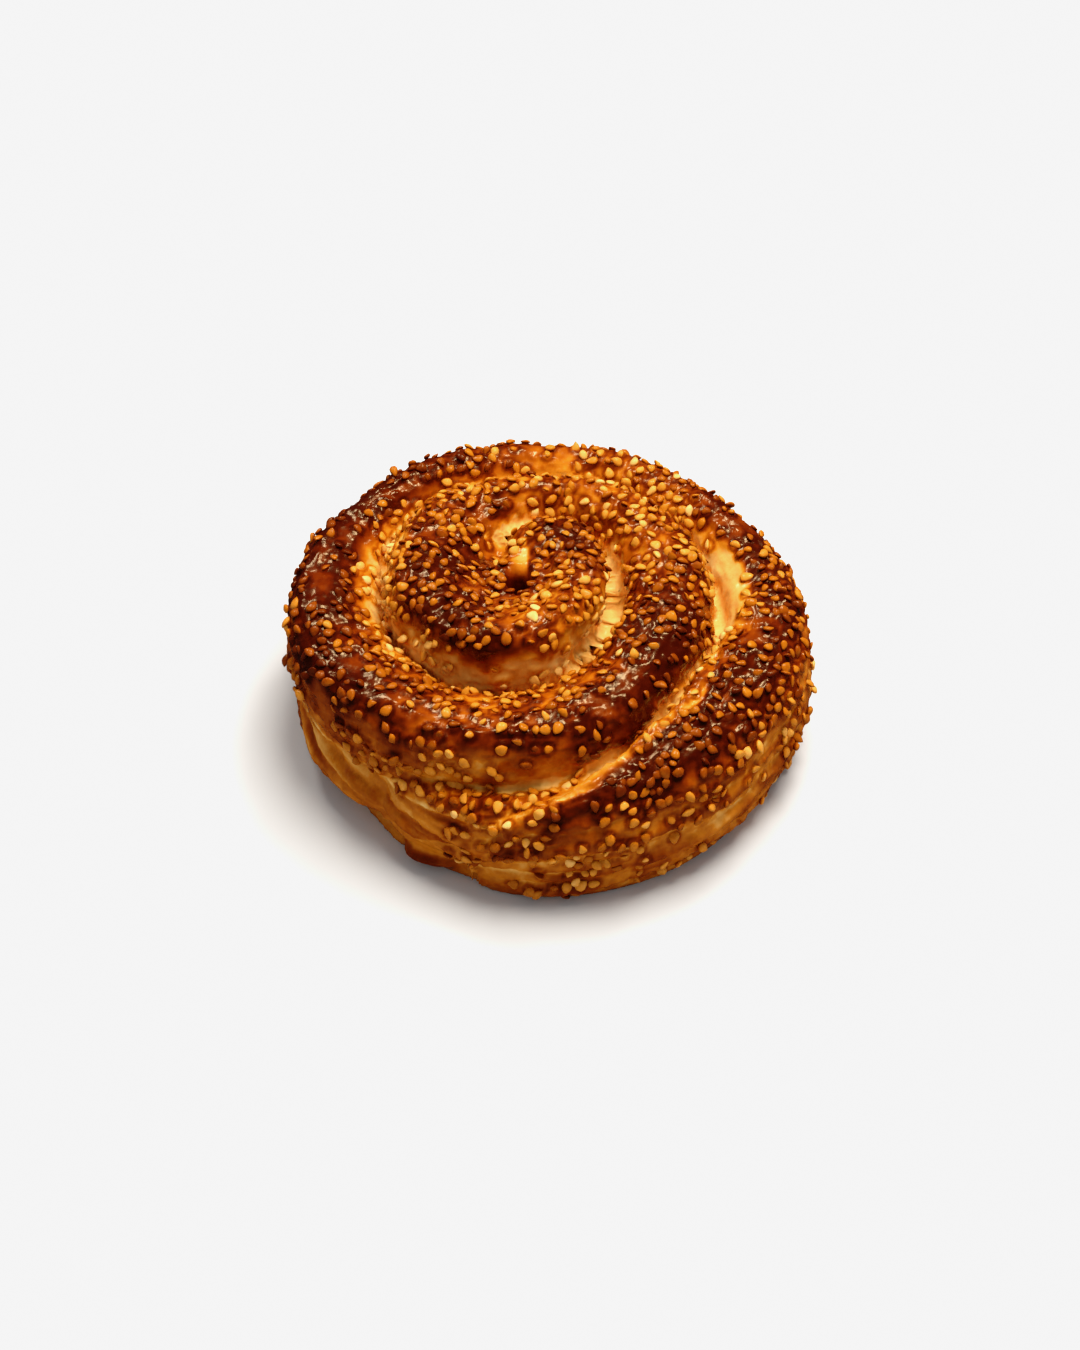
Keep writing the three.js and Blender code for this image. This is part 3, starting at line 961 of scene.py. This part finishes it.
def toasted_sesame():
    """Hulled sesame under egg wash: cream gold to toasted orange brown, seed by seed, with
    painted shade round each seed's foot and a faint grain."""
    finish = Finish("toasted_sesame")
    tone = finish.stored("toast") + (finish.noise(420, 2) - 0.5) * 0.35
    colour = finish.ramp(tone, [
        (0.0, (0.82, 0.43, 0.12)), (0.25, (0.66, 0.24, 0.03)), (0.5, (0.42, 0.11, 0.005)),
        (0.75, (0.20, 0.036, 0.0015)), (1.0, (0.07, 0.009, 0.0008))])
    return finish.surface({
        "Base Color": colour, "Roughness": 0.2 + 0.16 * finish.noise(600, 2),
        "Normal": finish.bump(finish.noise(1800, 2), 0.25, 0.0003),
        "Specular IOR Level": 0.5, "Specular Tint": (1.0, 0.75, 0.45, 1)})


def table_white():
    """Matt pale grey that takes the bun's shadow near it, and evenly glowing white further out."""
    finish = Finish("table_white")
    where = finish.node("ShaderNodeTexCoord", output="Object")
    out = finish.node("ShaderNodeVectorMath", {"operation": "LENGTH"}, {0: where}, output="Value")
    far = finish.node("ShaderNodeMapRange", {"interpolation_type": "SMOOTHSTEP"}, {
        "Value": out, "From Min": TABLE_MATT_TO, "From Max": TABLE_GLOWS_FROM})
    near = finish.node("ShaderNodeBsdfDiffuse", {}, {"Color": (0.58, 0.58, 0.58, 1)})
    glow = finish.node("ShaderNodeEmission", {}, {"Color": (1, 1, 1, 1), "Strength": ROOM_WHITE})
    return finish.ending(finish.node("ShaderNodeMixShader", {}, {0: far, 1: near, 2: glow}))


# ---- The scene ----

def build_bun():
    """The crust, which swells a little round every seed and takes painted shade round each, and
    the seeds on it.
    """
    dough = softened(bun_dough())
    crust = shaped_crust(dough)
    bake, seam = baking(crust, dough)
    rng = np.random.default_rng(7)
    spots = seed_spots(crust, seam, rng)
    from_seed = distance_to_seeds(crust, spots)
    crust.points += crust.normals() * 0.5 * hump(from_seed, 0, 1.8)[:, None]
    crust.points[:, 2] = np.maximum(crust.points[:, 2], 0)
    # Painted contact shade on the crust round each seed, stronger where the crust faces up.
    painted_seed_shade = (0.12 + 0.2 * facing_up(crust)) * hump(from_seed, 1.8, 0.6)
    bake = np.clip(bake + painted_seed_shade, 0, 1)
    used, faces = plain_underside(crust.points, crust.faces)
    bun = piece_from("bun_crust", crust.points[used], faces, baked_crust(), {"bake": bake[used]})
    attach(bun, "root")
    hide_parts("bun")
    seeds = sesame_seeds(crust, spots, bake, toasted_sesame(), rng)
    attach(seeds, "root")
    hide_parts(*CAD_SEEDS)


def table_top():
    """A wide round floor that doesn't show in the glaze."""
    bpy.ops.mesh.primitive_circle_add(vertices=96, radius=3, fill_type="NGON")
    floor = bpy.context.object
    floor.name = "table_top"
    floor.data.materials.append(table_white())
    floor.visible_glossy = False


def aim_at(thing, target):
    """Turns a lamp or a camera towards a target."""
    thing.rotation_euler = (target - thing.location).to_track_quat("-Z", "Y").to_euler()
    bpy.context.scene.collection.objects.link(thing)


def softbox(name, place, size, watts, gleams=True):
    """A round lamp aimed at the bun. Without gleams it doesn't show in the glaze."""
    light = bpy.data.lights.new(name, "AREA")
    light.shape = "DISK"
    light.size = size
    light.energy = watts
    light.color = LAMP_COLOUR
    lamp = bpy.data.objects.new(name, light)
    lamp.location = place
    lamp.visible_glossy = gleams
    aim_at(lamp, Vector((0, 0, 0.02)))


def room():
    """A white room: how bright it is depends on what meets it, the camera's view, a gleam on
    the glaze or anything else."""
    world = bpy.data.worlds.new("studio_white")
    world.use_nodes = True
    tree = world.node_tree
    path = tree.nodes.new("ShaderNodeLightPath")
    strength = tree.nodes.new("ShaderNodeMapRange")
    strength.inputs["To Min"].default_value = ROOM_LIGHT
    strength.inputs["To Max"].default_value = ROOM_WHITE
    tree.links.new(path.outputs["Is Camera Ray"], strength.inputs["Value"])
    gleam = tree.nodes.new("ShaderNodeMapRange")
    gleam.inputs["To Max"].default_value = ROOM_GLEAM
    tree.links.new(path.outputs["Is Glossy Ray"], gleam.inputs["Value"])
    tree.links.new(strength.outputs["Result"], gleam.inputs["To Min"])
    tree.links.new(gleam.outputs["Result"], tree.nodes["Background"].inputs["Strength"])
    tree.nodes["Background"].inputs["Color"].default_value = (1, 1, 1, 1)
    bpy.context.scene.world = world


def brightness_curve():
    """Gives the view soft contrast, and a white that is just short of full."""
    look = bpy.context.scene.view_settings
    look.view_transform = "Standard"
    look.use_curve_mapping = True
    look.curve_mapping.extend = "HORIZONTAL"
    brightness = look.curve_mapping.curves[3].points
    brightness[-1].location = (1, WHITE_SHOWN_AS)
    for made, shown in SHOWN_AS:
        brightness.new(made, shown)
    look.curve_mapping.update()


def studio():
    """The white room, a big softbox that lights without gleaming, and two windows that give the
    glints."""
    room()
    softbox("softbox", (0.16, 0.12, 0.85), 0.5, 13.2, gleams=False)
    softbox("window", (0.20, 0.30, 0.72), 0.16, 2.2)
    softbox("back_window", (-0.30, 0.45, 0.60), 0.16, 1.6)
    brightness_curve()


def camera():
    """Looks down on the bun's front from 45.5 degrees above the table, through a 70 mm lens."""
    aim = Vector((-0.0033, -0.0030, 0.0188))
    elevation, distance = math.radians(45.5), 0.727
    lens = bpy.data.cameras.new("camera")
    lens.lens = 70
    lens.sensor_width = 36
    view = bpy.data.objects.new("camera", lens)
    view.location = aim + Vector((0, -math.cos(elevation), math.sin(elevation))) * distance
    aim_at(view, aim)
    bpy.context.scene.camera = view


camera()
studio()
table_top()
build_bun()
